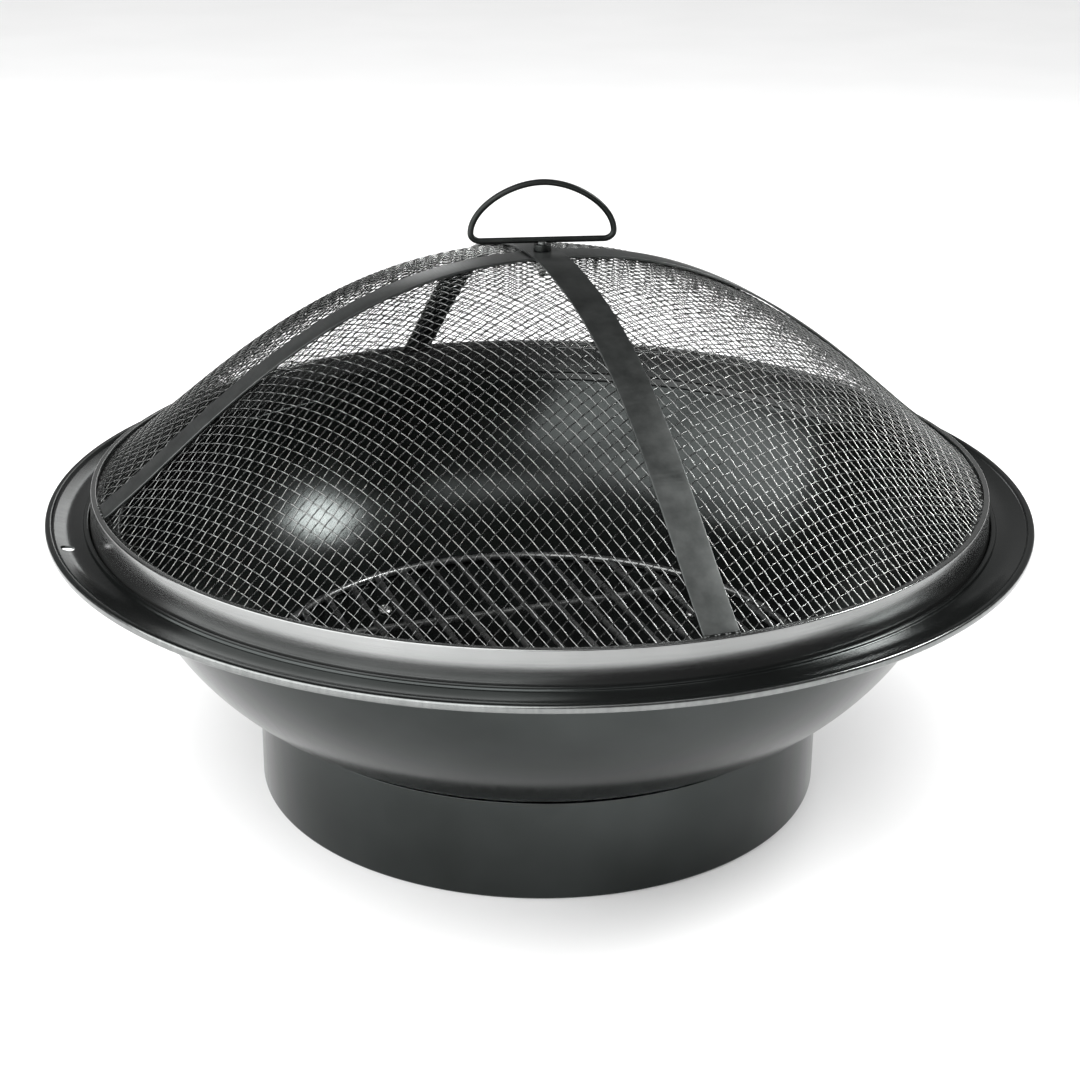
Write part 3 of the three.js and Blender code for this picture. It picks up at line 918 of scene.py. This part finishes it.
def strap_part(rise):
    """A flat strip along X over the dome, with softly rounded long edges and cut ends."""
    end = LIP_RADIUS - 3 * GAP
    steps = 180
    edge = 0.5 * MM
    section = rounded([
        (-STRAP_WIDTH / 2, 0, edge),
        (STRAP_WIDTH / 2, 0, edge),
        (STRAP_WIDTH / 2, STRAP_SHEET, edge),
        (-STRAP_WIDTH / 2, STRAP_SHEET, edge),
    ], steps=4)
    vertices = []
    for i in range(steps + 1):
        x = end * (2 * i / steps - 1)
        z = float(strap_underside(abs(x), rise))
        vertices += [(x, y, z + height) for y, height in section]
    count = len(section)
    return vertices, grid_faces(steps + 1, count, False, True) + end_caps(steps + 1, count)


def add_straps():
    """Two crossed straps over the dome, bored for the handle's stud and welded to the skirt's lip."""
    hole = plain_cylinder(STUD_HOLE, MESH_APEX_Z - 10 * MM, MESH_APEX_Z + 20 * MM)
    bead = (1.3 * MM, 1.9 * MM, 0.9 * MM)
    foot_x = LIP_RADIUS - 0.2 * MM
    foot_z = float(strap_underside(foot_x - 2 * MM, 0))
    for name, azimuth, rise, paint in (
        ("lower", STRAP_AZIMUTH + 90, 0, LOWER_STRAP_PAINT),
        ("upper", STRAP_AZIMUTH, CROSSING_RISE, UPPER_STRAP_PAINT),
    ):
        part = moved(with_holes(strap_part(rise), [hole]), about_z(azimuth))
        add_piece(f"strap_{name}_strip", part, paint, "screen", [f"strap_{name}"])
        beads = []
        for end in (-1, 1):
            for k, y in enumerate(STRAP_WELDS):
                centre = (end * foot_x, y, foot_z + 0.7 * MM)
                beads.append(lump(centre, bead, seed=900 + 10 * k + end + azimuth))
        welds = moved(joined(beads), about_z(azimuth))
        add_piece(f"strap_{name}_welds", welds, WELD_FINISH, "screen")


# ---- Handle ----

def bezier(a, b, c, d, steps):
    """Points on a cubic curve, without its last point."""
    points = []
    for i in range(steps):
        t = i / steps
        weights = ((1 - t) ** 3, 3 * t * (1 - t) ** 2, 3 * t ** 2 * (1 - t), t ** 3)
        points.append(tuple(sum(w * p[k] for w, p in zip(weights, (a, b, c, d))) for k in range(2)))
    return points


def handle_path():
    """The loop's centre line in X and Z: a straight bar, tight corners and a tall arch."""
    half, widest = HANDLE_HALF_WIDTH, HANDLE_WIDEST_Z
    arch_x = half * 0.48
    arch_z = widest + (HANDLE_TOP - widest) * 0.48
    corner_z = HANDLE_BAR_Z + (widest - HANDLE_BAR_Z) * 0.45
    turn_x = HANDLE_CORNER_X + (half - HANDLE_CORNER_X) * 0.55
    bar_end = (HANDLE_CORNER_X, HANDLE_BAR_Z)
    corner = bezier(bar_end, (turn_x, HANDLE_BAR_Z), (half, corner_z), (half, widest), 14)
    arch = bezier((half, widest), (half, arch_z), (arch_x, HANDLE_TOP), (0, HANDLE_TOP), 36)
    right = [(HANDLE_CORNER_X * i / 12, HANDLE_BAR_Z) for i in range(12)] + corner + arch
    left = [(-x, z) for x, z in right[1:]][::-1]
    return [(x, 0, z) for x, z in right + [(0, HANDLE_TOP)] + left]


def add_handle():
    """The loop, welded to the top of a boss that is bored for the stud."""
    turn = about_z(HANDLE_AZIMUTH)
    loop = moved(round_bar_loop(handle_path(), HANDLE_ROD, 24), turn)
    add_piece("handle", loop, HANDLE_PAINT, "screen", ["handle_loop"])
    boss_low, boss_high = low("handle_boss").z, high("handle_boss").z
    boss_radius = high("handle_boss").x
    bore_top = high("handle_stud").z + GAP
    boss = turned([
        (0, bore_top),
        *rounded([
            (STUD_HOLE, bore_top, 0),
            (STUD_HOLE, boss_low, 0.3 * MM),
            (boss_radius, boss_low, 0.5 * MM),
            (boss_radius, boss_high, 1.3 * MM),
        ]),
        (0, boss_high),
    ], 96)
    add_piece("boss", boss, HANDLE_PAINT, "screen", ["handle_boss"])
    welds = []
    for side in (-1, 1):
        centre = Vector((0, side * 3.0 * MM, boss_high + 0.2 * MM))
        welds.append(lump(turn @ centre, (3.6 * MM, 2.6 * MM, 2.4 * MM), seed=40 + side))
    add_piece("handle_welds", joined(welds), WELD_FINISH, "screen")


def add_handle_fixing():
    """The stud down through the straps and the dome, with a washer and nut under them."""
    stud = threaded(STUD_RADIUS, low("handle_stud").z, high("handle_stud").z)
    add_piece("stud", stud, FIXING_FINISH, "screen", ["handle_stud"])
    washer_low, washer_high = low("handle_washer").z, high("handle_washer").z
    edge = 0.35 * MM
    washer = turned(rounded([
        (STUD_HOLE, washer_low, edge),
        (WASHER_RADIUS, washer_low, edge),
        (WASHER_RADIUS, washer_high, edge),
        (STUD_HOLE, washer_high, edge),
    ], steps=4), 96)
    add_piece("washer", washer, FIXING_FINISH, "screen", ["handle_washer"])
    nut = nut_part(low("handle_nut").z, high("handle_nut").z)
    add_piece("nut", nut, FIXING_FINISH, "screen", ["handle_nut"])


# ---- Studio ----

def add_camera():
    """A long lens at the photograph's viewing angle. Elevation and roll are in radians."""
    elevation = 0.3603
    distance = 1.5515
    target = Vector((0, 0, 0.225))
    data = bpy.data.cameras.new("camera")
    data.sensor_width = 36
    data.lens = 66.5
    data.shift_y = -0.0416
    camera = bpy.data.objects.new("camera", data)
    place = target + distance * Vector((0, -math.cos(elevation), math.sin(elevation)))
    roll = 0.0092
    camera.matrix_world = (
        Matrix.Translation(place)
        @ Matrix.Rotation(math.pi / 2 - elevation, 4, "X")
        @ Matrix.Rotation(roll, 4, "Z")
    )
    bpy.context.scene.collection.objects.link(camera)
    bpy.context.scene.camera = camera


def add_floor():
    """A plain pale disc, wide enough to fill the view."""
    radius, thickness = 15, 5 * MM
    finish = Finish("floor", metallic=0.0, specular=0.1)
    grain = finish.noise(3, detail=3)
    finish.colours(grain, (0.89, 0.89, 0.89), (0.91, 0.91, 0.91))
    finish.roughness(grain, 0.8, 0.9)
    mesh = make_mesh("floor", turned([(0, -thickness), (radius, -thickness), (radius, 0), (0, 0)], 96))
    mesh.materials.append(finish.material)
    floor = bpy.data.objects.new("floor", mesh)
    bpy.context.scene.collection.objects.link(floor)


SOFTBOXES = (
    # Name, azimuth, elevation, distance, width, height, radiance
    ("front_left_softbox", -131, 31, 2.6, 4.9, 2.8, 4.4),
    ("right_softbox", 80, 43, 2.6, 0.65, 0.65, 36),
    ("front_top_softbox", 165, 62, 2.6, 2.0, 0.5, 2.2),
    ("back_softbox", 0, 20, 3.2, 6.0, 1.5, 0.24),
    ("back_edge_softbox", -12, 22, 2.6, 0.3, 0.5, 3),
)


def add_softbox(name, azimuth, elevation, distance, width, height, radiance):
    """An area light that faces the fire pit. Azimuth is clockwise from +Y, as seen from above."""
    a, e = math.radians(azimuth), math.radians(elevation)
    target = Vector((0, 0, 0.15))
    direction = Vector((math.sin(a) * math.cos(e), math.cos(a) * math.cos(e), math.sin(e)))
    data = bpy.data.lights.new(name, "AREA")
    data.shape = "RECTANGLE"
    data.size = width
    data.size_y = height
    data.energy = radiance * math.pi * width * height
    light = bpy.data.objects.new(name, data)
    light.location = target + direction * distance
    light.rotation_euler = direction.to_track_quat("Z", "Y").to_euler()
    light.visible_camera = False
    bpy.context.scene.collection.objects.link(light)


def add_lights():
    """Softboxes that the dark paint mirrors, and a wide soft sun that doesn't show in reflections."""
    for softbox in SOFTBOXES:
        add_softbox(*softbox)
    data = bpy.data.lights.new("fill", "SUN")
    data.energy = 2.7
    data.angle = math.radians(80)
    fill = bpy.data.objects.new("fill", data)
    fill.visible_glossy = False
    bpy.context.scene.collection.objects.link(fill)


def add_world():
    """A white room for the eye, kept dim in reflections so that the dark paint stays dark."""
    world = bpy.data.worlds.new("studio")
    world.use_nodes = True
    bpy.context.scene.world = world
    tree = world.node_tree
    backdrop = tree.nodes["Background"]
    backdrop.inputs["Color"].default_value = (0.015, 0.015, 0.015, 1)
    seen = tree.nodes.new("ShaderNodeBackground")
    seen.inputs["Color"].default_value = (0.95, 0.95, 0.95, 1)
    path = tree.nodes.new("ShaderNodeLightPath")
    mix = tree.nodes.new("ShaderNodeMixShader")
    tree.links.new(path.outputs["Is Camera Ray"], mix.inputs["Fac"])
    tree.links.new(backdrop.outputs["Background"], mix.inputs[1])
    tree.links.new(seen.outputs["Background"], mix.inputs[2])
    tree.links.new(mix.outputs["Shader"], tree.nodes["World Output"].inputs["Surface"])
    bpy.context.scene.view_settings.view_transform = "Standard"


# ---- Build ----

add_camera()
add_floor()
add_lights()
add_world()
add_bowl()
add_base_ring()
add_fixings()
add_grate()
add_skirt()
add_hem()
add_wire_dome()
add_straps()
add_handle()
add_handle_fixing()
